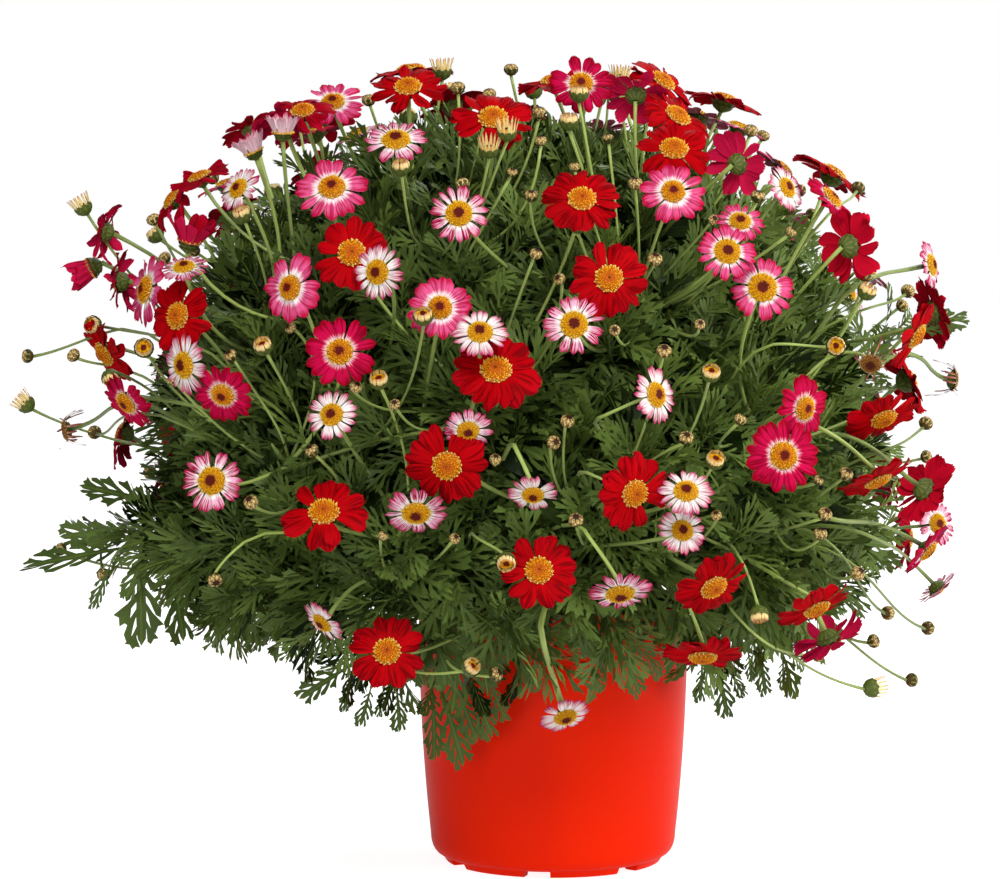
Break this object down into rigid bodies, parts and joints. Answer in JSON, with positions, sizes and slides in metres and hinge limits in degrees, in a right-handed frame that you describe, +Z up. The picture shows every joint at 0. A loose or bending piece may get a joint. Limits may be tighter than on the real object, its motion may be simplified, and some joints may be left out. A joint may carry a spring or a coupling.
{
  "type": "potted marguerite daisy",
  "caption": "Ball-shaped marguerite daisy bush in full bloom with red, magenta and pink flowers, standing in a plain round plastic grower's pot.",
  "frame": {"origin": "centre of the flat boss under the pot, on the plane that the pot stands on; the pot's axis is Z", "axes": "+Z up along the pot's axis, -Y the side that the picture shows, +X to that side's right, where the bush is widest"},
  "size_m": [0.6028, 0.532, 0.5146],
  "materials": {
    "pot_plastic": "satin",
    "soil": "matte",
    "bark": "matte",
    "leaf": "matte",
    "petal_red": "satin",
    "petal_pink": "satin",
    "flower_disc": "matte",
    "stalk": "matte",
    "bud": "matte"
  },
  "bodies": {
    "root": {"pot": "pot_plastic", "potting_soil": "soil", "woody_stem": "bark", "leafy_shoot_01": "leaf", "flower_spray_red_01": "petal_red", "leafy_shoot_02": "leaf", "flower_spray_pink_02": "petal_pink", "leafy_shoot_03": "leaf", "flower_spray_red_03": "petal_red", "leafy_shoot_04": "leaf", "flower_spray_pink_04": "petal_pink", "leafy_shoot_05": "leaf", "flower_spray_red_05": "petal_red", "leafy_shoot_06": "leaf", "flower_spray_pink_06": "petal_pink", "leafy_shoot_07": "leaf", "flower_spray_red_07": "petal_red", "leafy_shoot_08": "leaf", "flower_spray_pink_08": "petal_pink", "leafy_shoot_09": "leaf", "flower_spray_red_09": "petal_red", "leafy_shoot_10": "leaf", "flower_spray_pink_10": "petal_pink", "leafy_shoot_11": "leaf", "flower_spray_red_11": "petal_red", "leafy_shoot_12": "leaf", "flower_spray_pink_12": "petal_pink", "leafy_shoot_13": "leaf", "flower_spray_red_13": "petal_red", "leafy_shoot_14": "leaf", "flower_spray_pink_14": "petal_pink", "leafy_shoot_15": "leaf", "flower_spray_red_15": "petal_red", "leafy_shoot_16": "leaf", "flower_spray_pink_16": "petal_pink", "leafy_shoot_17": "leaf", "flower_spray_red_17": "petal_red", "leafy_shoot_18": "leaf", "flower_spray_pink_18": "petal_pink", "leafy_shoot_19": "leaf", "flower_spray_red_19": "petal_red", "leafy_shoot_20": "leaf", "flower_spray_pink_20": "petal_pink", "leafy_shoot_21": "leaf", "flower_spray_red_21": "petal_red", "leafy_shoot_22": "leaf", "flower_spray_pink_22": "petal_pink", "leafy_shoot_23": "leaf", "flower_spray_red_23": "petal_red", "leafy_shoot_24": "leaf", "flower_spray_pink_24": "petal_pink", "leafy_shoot_25": "leaf", "flower_spray_red_25": "petal_red", "leafy_shoot_26": "leaf", "flower_spray_pink_26": "petal_pink", "leafy_shoot_27": "leaf", "flower_spray_red_27": "petal_red", "leafy_shoot_28": "leaf", "flower_spray_pink_28": "petal_pink"}
  },
  "joints": []
}
